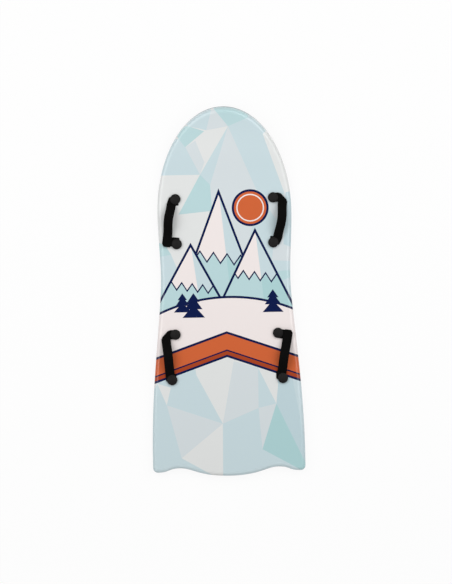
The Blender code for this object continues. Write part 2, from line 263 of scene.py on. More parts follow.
handles = {
    "front_left": (on_left(0.156), on_left(0.302), 9, 6, -5, 6.5, 11),
    "front_right": (on_right(0.302), on_right(0.156), 14, -3, -5, 0, 12),
    "rear_left": (on_left(-0.138), on_left(-0.285), -3, 4, -7, 0, 5),
    "rear_right": (on_right(-0.138), on_right(-0.285), -4, 16, -5, 1.5, -6),
}
mitred_handles = ("front_left", "rear_right")
rivet_places = [place for facts in handles.values() for place in facts[:2]]
print("rivets in mm:", [(round(p.x * 1000), round(p.y * 1000)) for p in rivet_places])

# %% [markdown]
# ## The board blank
#
# The deck film and the base sheet are two skins round one foam board, so both are cut from the
# same blank. The blank starts as a filled circle whose points are moved onto the outline. It is
# extruded to the board's thickness, and its rims are beveled with the rail's radius. A narrow
# inset keeps the flat faces' shading apart from the rails, and cuts across the nose let it bend.

# %% Make the blank
rail_segments = 8
shading_inset = 0.002
nose_cuts = 30
cut_spacing = 0.009
nearly_level = 0.999


def make_blank():
    deselect()
    bpy.ops.mesh.primitive_circle_add(vertices=len(outline), radius=1, fill_type="NGON")
    blank = bpy.context.object
    for vertex, place in zip(blank.data.vertices, outline):
        vertex.co = place
    edit(blank)
    pick_all()
    bpy.ops.mesh.extrude_region_move(TRANSFORM_OT_translate={"value": (0, 0, thickness)})
    pick_all()
    bpy.ops.mesh.normals_make_consistent(inside=False)
    pick(blank, "edges", lambda e: abs(e.verts[0].co.z - e.verts[1].co.z) < mm)
    bpy.ops.mesh.bevel(
        offset=rail_radius, segments=rail_segments, profile=0.5, affect="EDGES",
        clamp_overlap=False)
    for facing in (1, -1):
        pick(blank, "faces", lambda f: f.normal.z * facing > nearly_level)
        bpy.ops.mesh.inset(thickness=shading_inset)
        for row in range(nose_cuts):
            pick(blank, "faces", lambda f: f.normal.z * facing > nearly_level)
            cut = bend_start + cut_spacing * row
            bpy.ops.mesh.bisect(plane_co=(0, cut, 0), plane_no=(0, 1, 0))
    leave_edit()
    return blank


def keep_one_side(blank, name, height, keep_top):
    """A copy of the blank, cut open level at a height."""
    part = copy_of(blank, name)
    edit(part)
    pick_all()
    bpy.ops.mesh.bisect(
        plane_co=(0, 0, height), plane_no=up, clear_inner=keep_top, clear_outer=not keep_top)
    leave_edit()
    return part


def turn_nose_up(part):
    """Roll everything ahead of the bend line up on one radius, measured on the base."""
    for vertex in part.data.vertices:
        ahead = vertex.co.y - bend_start
        if ahead > 0:
            angle = ahead / bend_radius
            radius = bend_radius - vertex.co.z
            vertex.co.y = bend_start + radius * math.sin(angle)
            vertex.co.z = bend_radius - radius * math.cos(angle)


def rivet_plugs(radius, low, high):
    """A round plug at each rivet, joined as one cutter."""
    deselect()
    plugs = []
    for place in rivet_places:
        bpy.ops.mesh.primitive_cylinder_add(
            vertices=48, radius=radius, depth=high - low, location=place + up * (low + high) / 2)
        plugs.append(bpy.context.object)
    for plug in plugs:
        plug.select_set(True)
    bpy.ops.object.join()
    return bpy.context.object


def carve(part, plugs, operation="DIFFERENCE"):
    apply_modifier(part, "BOOLEAN", object=plugs, operation=operation, solver="EXACT")
    discard(plugs)


blank = make_blank()
print(count(blank))

# %% [markdown]
# ## The deck
#
# The printed film wraps over the rails down to a parting line on the side. On the real sled it is
# laminated to a thin layer of denser foam, so it is a shell with a wall of 3 mm. It is cut from
# the blank above the parting line and thickened inwards with Solidify. Each nut's sleeve comes up
# through a hole, and a small bevel softens the lip at the parting line.

# %% Make the deck
sleeve_hole = 0.0063
deck = keep_one_side(blank, "deck", parting_height + gap / 2, True)
thicken(deck, deck_wall, offset=-1)
turn_nose_up(deck)
carve(deck, rivet_plugs(sleeve_hole, thickness / 2, thickness * 1.5))
soften(deck, 0.4 * mm, segments=2, degrees=60)
smooth(deck, degrees=40)
apply_modifier(deck, "WEIGHTED_NORMAL", keep_sharp=True)
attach(deck, "board")
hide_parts("deck_skin")
print(count(deck))

# %% [markdown]
# ## The slick base
#
# The base sheet is what slides on the snow. Its edge is turned up the side to the parting line. At
# each rivet it has a recess for the nut's flange, so that nothing sticks out below, and a boss
# behind the recess that carries the load. Boolean modifiers add the bosses and cut the recesses
# and the holes.

# %% Make the base
boss_radius, boss_top = 0.0190, 0.0057
recess_radius, recess_top = 0.0153, 0.0032
below_base, above_boss = -0.010, 0.020
base = keep_one_side(blank, "slick_sheet", parting_height - gap / 2, False)
discard(blank)
thicken(base, base_wall, offset=-1)
turn_nose_up(base)
carve(base, rivet_plugs(boss_radius, base_wall / 2, boss_top), "UNION")
carve(base, rivet_plugs(recess_radius, below_base, recess_top))
carve(base, rivet_plugs(sleeve_hole, below_base, above_boss))
soften(base, 0.3 * mm, segments=2, degrees=60)
smooth(base, degrees=40)
apply_modifier(base, "WEIGHTED_NORMAL", keep_sharp=True)
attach(base, "board")
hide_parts("slick_base")
print(count(base))

# %% [markdown]
# ## Rivets and nuts
#
# The rivets are moulded discs with a low dome and two grooves, held by a stem. The nut under the
# board has a wide flange, a rounded rim and a cross slot for a driver. Both are turned shapes. Each
# starts as a filled circle that is extruded ring by ring and resized at every step. One of each is
# modelled, and each copy gets its own mesh.

# %% A turned piece from its rings
turned_smoothing = 38


def turn(name, rings):
    """A closed turned shape from (radius, height) pairs in mm, from its lower face on."""
    radius, height = rings[0]
    deselect()
    bpy.ops.mesh.primitive_circle_add(
        vertices=72, radius=radius * mm, fill_type="NGON", location=(0, 0, height * mm))
    piece = bpy.context.object
    piece.name = piece.data.name = name
    edit(piece)
    pick_all()
    for next_radius, next_height in rings[1:]:
        rise = (next_height - height) * mm
        bpy.ops.mesh.extrude_region_move(TRANSFORM_OT_translate={"value": (0, 0, rise)})
        size = next_radius / radius
        bpy.ops.transform.resize(value=(size, size, 1), center_override=(0, 0, 0))
        radius, height = next_radius, next_height
    pick_all()
    bpy.ops.mesh.normals_make_consistent(inside=False)
    leave_edit()
    piece.data.transform(piece.matrix_world)
    piece.matrix_world = Matrix.Identity(4)
    smooth(piece, turned_smoothing)
    return piece


def place_copy(model, name, place):
    piece = copy_of(model, name)
    piece.data.transform(Matrix.Translation(place))
    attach(piece, "board")
    return piece


# %% Model one rivet and one nut


def rivet_rings():
    """A stem, the head's flat underside, a rounded rim, and a dome with two grooves and an eye."""
    rim, rim_height, dome = 16.8, 2.2, 3.0
    grooves, groove_depth = (13.3, 12.9, 9.1, 8.7), 0.28
    eye, eye_depth = 4.2, 0.35
    rings = [(4, -35.3), (4, -0.01), (15.9, 0), (16.5, 0.25), (rim, 0.8), (rim, 1.5)]
    rings += [(16.6, 2.0), (16.1, 2.4), (15.3, 2.62)]
    for radius in (14.4, 13.6, 13.3, 12.9, 12.6, 11, 9.4, 9.1, 8.7, 8.4, 6.5, 4.4, 4.1, 3.2, 1.4):
        height = rim_height + dome * (1 - (radius / rim) ** 2)
        sunk = groove_depth if radius in grooves else eye_depth if radius < eye else 0
        rings.append((radius, height - sunk))
    return rings


rivet = turn("rivet_model", rivet_rings())
nut = turn("nut_model", [
    (6.2, 0.9), (11.2, 0.9), (11.5, 0.7), (12.0, 0.45), (13.9, 0.4), (14.6, 0.55), (15.0, 1.0),
    (15.0, 2.9), (6.0, 2.91), (6.0, 39.9), (4.3, 40.0), (4.3, 10.0)])


def cut_driver_slots(piece):
    """Two crossed slots, 1 mm deep, in the nut's lower face."""
    lower_face, narrow, long = 0.9, 1.8, 9.6
    for width, length in ((narrow, long), (long, narrow)):
        deselect()
        bpy.ops.mesh.primitive_cube_add(size=1, location=(0, 0, lower_face * mm))
        slot = bpy.context.object
        slot.scale = (width * mm, length * mm, 2 * mm)
        apply_modifier(piece, "BOOLEAN", object=slot, operation="DIFFERENCE", solver="EXACT")
        discard(slot)


cut_driver_slots(nut)
smooth(nut, turned_smoothing)
print(count(rivet), "and", count(nut))

# %% Put them in the board
web_thickness = 0.0022
layer_step = web_thickness + gap
head_seat = thickness + 2 * layer_step + gap
rivets, nuts = [], []
for corner, facts in handles.items():
    for end, place in zip(("fold", "end"), facts):
        head = place_copy(rivet, f"{corner}_{end}_button", place + up * head_seat)
        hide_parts(f"{corner}_{end}_rivet")
        rivets.append(head)
        flange = place_copy(nut, f"{corner}_{end}_flange", place)
        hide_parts(f"{corner}_{end}_nut")
        nuts.append(flange)
discard(rivet)
discard(nut)
print(len(rivets), "rivets and", len(nuts), "nuts")

# %% [markdown]
# ## The webbing handles
#
# Each handle is one strip of webbing. It is hemmed under a rivet, runs outboard, is folded over a
# diagonal crease so that it turns along the board, arches up for the hand, and comes down to its
# second hem. On two handles the crease turns it the other way first, and a second fold brings it
# back over itself, which makes a squarer corner. A strip that is only folded and bent keeps its
# length and width, so each row of a flat grid is put in its place along the path. The grid's UV map
# keeps the flat strip's own millimetres, so that the weave later follows every fold.

# %% The plan of one handle
half_web = 0.015
head_radius = 0.0168
fold_tab_back = 0.0052
fold_hem_reach = 0.0100
end_tab_back = 0.0040
end_hem_reach = 0.0220
held_shift = 0.0067
stub_length = 0.0160
fold_clearance = 0.0005
axis_height = 0.0129
crest_rise = 0.0210
hem_corner = 0.004
crease_corner = 0.007
end_corner = 0.006
smoothing_passes = 60


class HandlePlan:
    """Directions and main points of one handle, from its two rivets."""

    def __init__(
            self, fold_rivet, end_rivet, lean, tilt, slant, tab_shift, end_shift, mitred):
        spacing = (end_rivet - fold_rivet).length
        lean, tilt, slant = (math.radians(v) for v in (lean, tilt, slant))
        self.lean, self.mitred = lean, mitred
        towards_end = (end_rivet - fold_rivet) / spacing
        outboard = towards_end.cross(up)
        if outboard.x * fold_rivet.x < 0:
            outboard = -outboard
        self.tab_along = outboard * math.cos(tilt) + towards_end * math.sin(tilt)
        self.tab_side = towards_end * math.cos(tilt) - outboard * math.sin(tilt)
        self.tab_middle = fold_rivet + self.tab_side * tab_shift * mm
        clear_of_head = head_radius + half_web + fold_clearance
        angle = math.asin((clear_of_head - end_shift * mm) / spacing)
        self.along = towards_end * math.cos(angle) - outboard * math.sin(angle)
        self.side = towards_end * math.sin(angle) + outboard * math.cos(angle)
        off_line = clear_of_head - (self.tab_middle - fold_rivet).dot(self.side)
        self.fold_distance = off_line / self.tab_along.dot(self.side)
        self.fold = self.tab_middle + self.tab_along * self.fold_distance
        turned = -self.along if mitred else self.along
        crease = (self.tab_along + turned).normalized()
        self.crease_out = (self.tab_along - turned).normalized()
        crease /= math.sqrt(1 - crease.dot(turned) ** 2)
        self.fold_flat = half_web * crease.dot(turned) + fold_clearance
        self.crease = -crease if mitred else crease
        self.crease_skew = self.crease.dot(self.tab_along)
        self.back_edge = self.fold - self.along * self.fold_flat
        self.fold_rise = self.fold + self.along * self.fold_flat
        held = max(-held_shift, min(end_shift * mm, held_shift))
        self.end_middle = end_rivet + self.side * held
        before_head = self.along * (head_radius + fold_clearance)
        self.end_rise = end_rivet + self.side * end_shift * mm - before_head
        self.arch_length = (self.end_rise - self.fold_rise).length
        self.hem_skew = math.tan(slant)
        self.hem_crease = self.side + self.along * self.hem_skew
        self.hem_out = self.along * math.cos(slant) - self.side * math.sin(slant)
        self.hem_along = self.side * math.sin(2 * slant) - self.along * math.cos(2 * slant)
        self.hem_side = self.side * math.cos(2 * slant) + self.along * math.sin(2 * slant)
        self.corners = []


plans = {}
for corner, facts in handles.items():
    plans[corner] = plan = HandlePlan(*facts, corner in mitred_handles)
    print(corner, f"rises over {plan.arch_length * 1000:.0f} mm")

# %% [markdown]
# A row holds the middle of the strip there, the direction across it, the length of webbing used so
# far, and how much that length changes across the row, which it does only near a slanted fold.
# A flat fold is half a turn round a thin rod, and its rows lie along the rod.

# %% Rows of webbing


def rows_of_turn(plan, corner, edge, outward, across, height, used, skew, rising=True, steps=8):
    """Rows round a fold, from the layer at this height to the next one up or down."""
    radius = layer_step / 2
    plan.corners.append((used + math.pi * radius / 2, corner))
    turn = 1 if rising else -1
    rows = []
    for step in range(1, steps):
        angle = math.pi * step / steps
        centre = edge + outward * radius * math.sin(angle)
        centre += up * (height + turn * radius * (1 - math.cos(angle)))
        rows.append((centre, across, used + radius * angle, skew))
    return rows


def rows_between(start, end, steps):
    """Rows from one to the next, without the last."""
    rows = []
    for step in range(steps):
        share = step / steps
        rows.append(tuple(a + (b - a) * share for a, b in zip(start, end)))
    return rows


def fold_end_rows(plan, first):
    """From the hem under the fold rivet, out to the crease, and back over it."""
    out, across = plan.tab_along, plan.tab_side
    turn_length = math.pi * layer_step / 2
    second, third = first + layer_step, first + 2 * layer_step
    hem = plan.tab_middle + out * fold_hem_reach + up * first
    edge = plan.tab_middle - out * fold_tab_back
    used = fold_hem_reach + fold_tab_back
    rows = rows_between((hem, across, 0, 0), (edge + up * first, across, used, 0), 8)
    rows.append((edge + up * first, across, used, 0))
    rows += rows_of_turn(plan, hem_corner, edge, -out, across, first, used, 0)
    used += turn_length
    under_head = plan.tab_middle + up * second
    rows += rows_between(
        (edge + up * second, across, used, 0), (under_head, across, used + fold_tab_back, 0), 6)
    used += fold_tab_back
    crease = (plan.fold + up * second, plan.crease, used + plan.fold_distance, plan.crease_skew)
    rows += rows_between((under_head, across, used, 0), crease, 16)
    rows.append(crease)
    used += plan.fold_distance
    rows += rows_of_turn(
        plan, crease_corner, plan.fold, plan.crease_out, plan.crease, second, used,
        plan.crease_skew)
    used += turn_length
    after = (plan.fold + up * third, plan.crease, used, plan.crease_skew)
    used += plan.fold_flat
    if not plan.mitred:
        rows += rows_between(after, (plan.fold_rise + up * third, plan.side, used, 0), 10)
        return rows, used, third
    back = (plan.back_edge + up * third, -plan.side, used, 0)
    rows += rows_between(after, back, 10)
    rows.append(back)
    rows += rows_of_turn(
        plan, crease_corner, plan.back_edge, -plan.along, -plan.side, third, used, 0)
    used += turn_length
    top = third + layer_step
    back = (plan.back_edge + up * top, -plan.side, used, 0)
    used += 2 * plan.fold_flat
    rows += rows_between(back, (plan.fold_rise + up * top, -plan.side, used, 0), 12)
    return rows, used, top


def arch_rows(plan, used, start_height, end_height, steps=72):
    """The hand's arch, from flat on the fold to flat at the other rivet, leaning outboard."""
    rows = []
    swing = plan.arch_length - 2 * stub_length
    last = None
    for step in range(steps + 1):
        along = plan.arch_length * step / steps
        share = min(1, min(along, plan.arch_length - along) / stub_length)
        share = share * share * (3 - 2 * share)
        level = start_height if along < plan.arch_length / 2 else end_height
        height = level + (thickness + axis_height - level) * share
        rise = max(0, math.sin(math.pi * (along - stub_length) / swing)) * crest_rise
        lean = plan.lean * share
        lift = plan.side * math.sin(lean) + up * math.cos(lean)
        side = plan.side * math.cos(lean) - up * math.sin(lean)
        centre = plan.fold_rise + plan.along * along + up * height + lift * rise
        rows.append([centre, side, 0.0, 0])
    for _ in range(smoothing_passes):
        middles = [row[0] for row in rows]
        for row, before, here, behind in zip(rows[1:], middles, middles[1:], middles[2:]):
            row[0] = here * 0.5 + (before + behind) * 0.25
    for row in rows:
        used += (row[0] - last).length if last else 0
        row[2] = used
        last = row[0]
    return [tuple(row) for row in rows], used


def end_rows(plan, used, first, second):
    """Flat under the end rivet, and hemmed beyond it on a slant."""
    across = plan.side
    edge = plan.end_middle + plan.along * end_tab_back
    reach = head_radius + fold_clearance
    under_head = (plan.end_middle + up * second, across, used + reach, 0)
    rows = rows_between((plan.end_rise + up * second, across, used, 0), under_head, 8)[1:]
    used += reach + end_tab_back
    crease = (edge + up * second, plan.hem_crease, used, plan.hem_skew)
    rows += rows_between(under_head, crease, 4)
    rows.append(crease)
    rows += rows_of_turn(
        plan, end_corner, edge, plan.hem_out, plan.hem_crease, second, used, plan.hem_skew,
        rising=False)
    used += math.pi * layer_step / 2
    hem = edge + plan.hem_along * end_tab_back + up * first
    after = (hem, plan.hem_side, used + end_tab_back, 0)
    rows += rows_between((edge + up * first, plan.hem_crease, used, plan.hem_skew), after, 4)
    used += end_tab_back
    end = (hem + plan.hem_along * end_hem_reach, plan.hem_side, used + end_hem_reach, 0)
    rows += rows_between(after, end, 10)
    rows.append(end)
    return rows


# %% [markdown]
# The strip starts as a flat grid. Its points are put on the rows, with a little cupping across the
# arch, as slack webbing has. Thick webbing doesn't fold to a sharp corner, so the rows grow
# narrower near each fold, and a mitred corner is drawn in to a round one. Solidify gives the strip
# its thickness and a bevel rounds its edges. The rivet's stem goes through it under the head, where
# a hole wouldn't show.

# %% Make one strip
columns = 14
mitre_corner = 0.010
cup_depth = 0.0009
cupped_from = 0.020
strip_thickness = 0.002


def all_rows(plan):
    first = thickness + gap + web_thickness / 2
    start, used, top = fold_end_rows(plan, first)
    arch, used = arch_rows(plan, used, top, first + layer_step)
    rest = arch + end_rows(plan, used, first, first + layer_step)
    if plan.mitred:
        rest = [(centre, -across, used, -skew) for centre, across, used, skew in rest]
    return start + rest


def width_left(plan, used):
    """The share of the width that a soft fold's round corners leave here."""
    left = half_web
    for crease, corner in plan.corners:
        near = corner - min(corner, abs(used - crease))
        left = min(left, half_web - corner + math.sqrt(corner ** 2 - near ** 2))
    return left / half_web


def round_mitre(plan, place):
    """Draw a point in from a mitred fold's square corner, to make it round from above."""
    arc = plan.back_edge + plan.side * (half_web - mitre_corner)
    arc += plan.along * (mitre_corner - layer_step / 2)
    out, back = (place - arc).dot(plan.side), (arc - place).dot(plan.along)
    if min(out, back) <= 0:
        return place
    far = max(out, back)
    pull = (1 - far / math.hypot(out, back)) * min(1, far / mitre_corner) ** 2
    return place - (plan.side * out - plan.along * back) * pull


def make_strip(name, plan):
    rows = all_rows(plan)
    widths = [width_left(plan, used) for _, _, used, _ in rows]
    deselect()
    bpy.ops.mesh.primitive_grid_add(x_subdivisions=columns, y_subdivisions=len(rows) - 1, size=1)
    strip = bpy.context.object
    strip.name = strip.data.name = name
    flat = {}
    for vertex in strip.data.vertices:
        row, column = divmod(vertex.index, columns + 1)
        centre, across, used, skew = rows[row]
        share = 2 * column / columns - 1
        raised = centre.z - thickness - 3 * layer_step
        cup = cup_depth * min(1, max(0, raised / cupped_from)) * share ** 2
        place = centre + across * half_web * share * widths[row] - up * cup
        vertex.co = round_mitre(plan, place) if plan.mitred else place
        flat[vertex.index] = (half_web * share * 1000, (used + skew * half_web * share) * 1000)
    for loop, uv in zip(strip.data.loops, strip.data.uv_layers.active.data):
        uv.uv = flat[loop.vertex_index]
    thicken(strip, strip_thickness, offset=0)
    soften(strip, 0.7 * mm, segments=3, degrees=50)
    return strip, rows[-1][2]


# %% Make the four strips
strips = []
for corner, plan in plans.items():
    strip, length = make_strip(f"{corner}_webbing", plan)
    smooth(strip, degrees=50)
    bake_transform(strip)
    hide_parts(f"{corner}_loop", f"{corner}_fold_tab", f"{corner}_end_tab")
    strips.append(strip)
    print(f"{strip.name}: {length * 1000:.0f} mm of webbing,", count(strip))

# %% [markdown]
# ## Writing materials as sums
#
# A procedural material is a chain of small calculations on each point's place. Dragging wires for
# hundreds of them is slow, so here a wire is a Python value: adding or multiplying two wires adds
# the Math node that does it, & gives the smaller of two and | the larger. Every other node comes
# from one method, which takes its kind, its settings and what goes into its sockets.

# %% Wires and finishes


class Wire:
    """An output socket that can be used in sums."""

    def __init__(self, finish, socket):
        self.finish, self.socket = finish, socket

    def __add__(self, other):
        return self.finish.sum("ADD", self, other)

    def __radd__(self, other):
        return self.finish.sum("ADD", other, self)

    def __sub__(self, other):
        return self.finish.sum("SUBTRACT", self, other)

    def __rsub__(self, other):
        return self.finish.sum("SUBTRACT", other, self)

    def __mul__(self, other):
        return self.finish.sum("MULTIPLY", self, other)

    def __rmul__(self, other):
        return self.finish.sum("MULTIPLY", other, self)

    def __truediv__(self, other):
        return self.finish.sum("DIVIDE", self, other)

    def __gt__(self, other):
        return self.finish.sum("GREATER_THAN", self, other)

    def __lt__(self, other):
        return self.finish.sum("LESS_THAN", self, other)

    def __and__(self, other):
        return self.finish.sum("MINIMUM", self, other)

    def __or__(self, other):
        return self.finish.sum("MAXIMUM", self, other)


def limited(wire):
    """The value, kept between 0 and 1."""
    return wire & 1 | 0


class Finish:
    """One material, whose nodes are added from Python."""

    def __init__(self, name):
        self.material = bpy.data.materials.new(name)
        self.material.use_nodes = True
        self.nodes = self.material.node_tree.nodes
        self.links = self.material.node_tree.links
        self.shader = self.nodes["Principled BSDF"]

    def feed(self, socket, value):
        if isinstance(value, Wire):
            self.links.new(value.socket, socket)
        elif isinstance(value, tuple) and len(value) == 3 and len(socket.default_value) == 4:
            socket.default_value = (*value, 1.0)
        else:
            socket.default_value = value

    def node(self, kind, settings=None, inputs=None, output=0):
        node = self.nodes.new("ShaderNode" + kind)
        for name, value in (settings or {}).items():
            setattr(node, name, value)
        for name, value in (inputs or {}).items():
            self.feed(node.inputs[name], value)
        return Wire(self, node.outputs[output])

    def sum(self, operation, first, second=0):
        return self.node("Math", {"operation": operation}, {0: first, 1: second})

    def vector(self, operation, first, second, output=0):
        inputs = {0: first, 1: second}
        return self.node("VectorMath", {"operation": operation}, inputs, output)

    def mix(self, share, first, second):
        """From the first colour to the second, as share goes from 0 to 1."""
        return self.node("Mix", {"data_type": "RGBA"}, {0: share, 6: first, 7: second}, 2)

    def place(self):
        """The point's own place on the sled, in metres."""
        return self.node("TexCoord", output=3)

    def axes(self, place):
        """The x, y and z of a place."""
        split = self.nodes.new("ShaderNodeSeparateXYZ")
        self.links.new(place.socket, split.inputs[0])
        return [Wire(self, output) for output in split.outputs]

    def noise(self, place, scale, detail=3.0):
        return self.node(
            "TexNoise", None, {"Vector": place, "Scale": scale, "Detail": detail})

    def stretched(self, place, x, y, z):
        return self.node("Mapping", None, {"Vector": place, "Scale": (x, y, z)})

    def bump(self, height, strength, distance):
        return self.node(
            "Bump", None, {"Height": height, "Strength": strength, "Distance": distance})

    def rays(self, kind):
        """1 for rays of this kind, and 0 for others."""
        return self.node("LightPath", output=f"Is {kind} Ray")

    def set(self, **inputs):
        for name, value in inputs.items():
            self.feed(self.shader.inputs[name.replace("_", " ")], value)

    def cover(self, *pieces):
        for piece in pieces:
            piece.data.materials.clear()
            piece.data.materials.append(self.material)


def srgb(red, green, blue):
    """A colour as it is named on a screen, from 0 to 255, in the linear values of light."""
    values = [v / 255 for v in (red, green, blue)]
    return tuple(v / 12.92 if v <= 0.04045 else ((v + 0.055) / 1.055) ** 2.4 for v in values)


# %% [markdown]
# ## The print
#
# The deck's film is printed with large facets of ice in white, pale blue and teal, which run over
# the rails. Each facet is a convex shape, and a point is inside it where it lies on the inner side
# of all its edges. One dot product gives the distance to an edge, and the smallest of them is the
# distance to the shape's border, so the same number also draws outlines. Facets are painted one
# over another, so that neighbours never leave a crack.

# %% Inks
ink = {
    "snow": srgb(230, 232, 231),
    "frost": srgb(217, 225, 228),
    "ice": srgb(204, 222, 227),
    "pool": srgb(196, 217, 223),
    "teal": srgb(190, 219, 222),
    "deep": srgb(178, 214, 216),
    "cream": srgb(245, 236, 234),
    "navy": srgb(6, 24, 74),
    "orange": srgb(212, 103, 58),
    "rust": srgb(172, 70, 34),
}

# %% Facets, as corners in mm from the middle of the board
facets = [
    ("ice", [(17, 535), (40, 660), (210, 580), (129, 508)]),
    ("ice", [(17, 535), (129, 508), (197, 313), (114, 308)]),
    ("frost", [(17, 535), (114, 308), (60, 120), (-60, 120), (-45, 347)]),
    ("ice", [(17, 535), (-60, 300), (-77, 380)]),
    ("frost", [(-123, 470), (-90, 490), (-62, 420), (-77, 380)]),
    ("teal", [(-28, 591), (17, 535), (81, 561), (100, 660), (-60, 660)]),
    ("ice", [(-54, 523), (-37, 586), (-60, 660), (-200, 600), (-111, 537)]),
    ("frost", [(-37, 586), (-28, 591), (17, 535), (-54, 523)]),
    ("teal", [(-111, 537), (-61, 520), (-123, 470), (-144, 497), (-170, 540)]),
    ("ice", [(-123, 470), (-77, 380), (-240, 380), (-240, 500), (-144, 497)]),
    ("teal", [(-77, 380), (-45, 347), (-40, 262), (-149, 252)]),
    ("teal", [(-260, 172), (-196, 156), (-176, 122), (-260, 108)]),
    ("ice", [(-260, 108), (-176, 122), (-150, 60), (-190, 12), (-260, -5)]),
    ("teal", [(-260, -5), (-190, 12), (-165, -95), (-260, -62)]),
    ("frost", [(114, 308), (197, 313), (260, 316), (260, 60), (40, 60)]),
    ("ice", [(114, 308), (170, 228), (150, 90), (60, 90)]),
    ("pool", [(200, 318), (260, 330), (260, 120), (190, 150)]),
    ("ice", [(260, 92), (110, 100), (60, 60), (260, 62)]),
    ("teal", [(260, 66), (60, 60), (80, -50), (260, -40)]),
    ("ice", [(260, 60), (150, 20), (165, -130), (260, -170)]),
    ("teal", [(21, -213), (100, -251), (141, -161), (60, -150)]),
    ("ice", [(-260, -240), (-229, -296), (-185, -310), (-101, -271), (-120, -150)]),
    ("ice", [(-260, -350), (-229, -296), (-199, -367), (-154, -540), (-260, -620)]),
    ("ice", [(-185, -310), (-101, -271), (-18, -430), (-199, -367)]),
    ("frost", [(21, -228), (100, -251), (99, -381), (-18, -430)]),
    ("ice", [(100, -251), (99, -381), (157, -368)]),
    ("frost", [(-199, -367), (-18, -430), (-154, -540)]),
    ("ice", [(-260, -540), (-154, -540), (-40, -605), (-40, -680), (-260, -680)]),
    ("ice", [(-18, -430), (99, -381), (109, -515), (109, -660), (-21, -660)]),
    ("frost", [(99, -381), (157, -368), (109, -515)]),
    ("ice", [(109, -515), (268, -604), (280, -700), (109, -700)]),
    ("deep", [(157, -368), (109, -515), (268, -604)]),
    ("ice", [(212, -295), (280, -200), (280, -640), (268, -604)]),
    ("pool", [(164, -304), (212, -295), (268, -604), (157, -368)]),
    ("pool", [(141, -161), (164, -304), (212, -295), (260, -180), (200, -120)]),
]


def turns_one_way(corners):
    turns = []
    for a, b, c in zip(corners, corners[1:] + corners[:1], corners[2:] + corners[:2]):
        turns.append((b[0] - a[0]) * (c[1] - b[1]) - (b[1] - a[1]) * (c[0] - b[0]))
    return all(t > 0 for t in turns) or all(t < 0 for t in turns)


for colour, corners in facets:
    if not turns_one_way(corners):
        print("not convex:", colour, corners)
print(len(facets), "facets")

# %% Shapes in the print


class Print(Finish):
    """The film's ink, painted over and over on the board seen from above, in mm."""

    def __init__(self, name, ground):
        super().__init__(name)
        millimetres = self.vector("MULTIPLY", self.place(), (1000, 1000, 0))
        self.point = self.vector("ADD", millimetres, (0, 0, 1))
        self.x, self.y, _ = self.axes(self.point)
        self.colour = ground

    def edge(self, start, end, centre):
        """How far a point lies inside the line from start to end, on the centre's side."""
        (ax, ay), (bx, by) = start, end
        length = math.hypot(bx - ax, by - ay)
        nx, ny = (ay - by) / length, (bx - ax) / length
        offset = -(nx * ax + ny * ay)
        if nx * centre[0] + ny * centre[1] + offset < 0:
            nx, ny, offset = -nx, -ny, -offset
        return self.vector("DOT_PRODUCT", self.point, (nx, ny, offset), 1)

    def inside(self, corners):
        """How far a point lies inside a convex shape."""
        centre = tuple(sum(c) / len(corners) for c in zip(*corners))
        depth = self.edge(corners[-1], corners[0], centre)
        for start, end in zip(corners, corners[1:]):
            depth = depth & self.edge(start, end, centre)
        return depth

    def disc(self, centre, radius):
        """How far a point lies inside a round shape."""
        return radius - self.vector("DISTANCE", self.point, (*centre, 1), 1)

    def paint(self, mask, colour):
        self.colour = self.mix(mask, self.colour, colour)

    def outlined(self, depth, line, colour, line_colour):
        self.paint(depth > 0, line_colour)
        self.paint(depth > line, colour)


film = Print("deck_print", ink["snow"])
for colour, corners in facets:
    film.paint(film.inside(corners) > 0, ink[colour])
print(len(film.nodes), "nodes for the facets")

# %% [markdown]
# In the middle stands a mountain scene in cream, navy and orange: a low sun behind three peaks,
# and a broad stripe below them. Its outlines are as heavy as a poster's, 7.5 mm wide, so that it
# reads from far up a slope.

# %% Sun and peaks
line = 7.5
ring_outside, ring_inside = 15, 19
sun = film.disc((84, 270), 60)
film.outlined(sun, line, ink["orange"], ink["navy"])
film.paint((sun > ring_outside) & (sun < ring_inside), ink["cream"])


def paint_peak(apex, left, right, ridge, snow_line, tooth):
    """A peak with a shaded right face, and bare rock below a zigzag snow line that tilts."""
    beyond, depth_of_tooth, tilt = 500, 1.5, 0.12
    depth = film.inside([apex, left, right])
    film.outlined(depth, line, ink["cream"], ink["navy"])
    body = depth > line
    shade = film.inside([apex, ridge, (right[0] + 200, ridge[1])])
    film.paint(body & (shade > 0), ink["ice"])
    zigzag = film.sum("PINGPONG", film.x + beyond, tooth)
    below = snow_line - film.y + zigzag * depth_of_tooth - (film.x - apex[0]) * tilt
    film.paint(body & (below > 0), ink["navy"])
    film.paint(body & (below > line), ink["teal"])
    film.paint(body & (below > line) & (shade > 0), ink["deep"])


paint_peak((-18, 335), (-175, -75), (130, -75), (22, -75), 95, 22)
paint_peak((-112, 160), (-245, -75), (15, -75), (-80, -75), 5, 17)
paint_peak((98, 205), (-40, -75), (235, -75), (128, -75), 38, 18)
print(len(film.nodes), "nodes with the peaks")

# %% Snowfield, pines and the stripe


def paint_pine(x, foot, height):
    tier = height * 0.52
    for share, width in ((0.0, 0.46), (0.34, 0.36), (0.64, 0.25)):
        low = foot + height * share
        top = min(foot + height, low + tier)
        tree = film.inside([(x, top), (x - height * width, low), (x + height * width, low)])
        film.paint(tree > 0, ink["navy"])


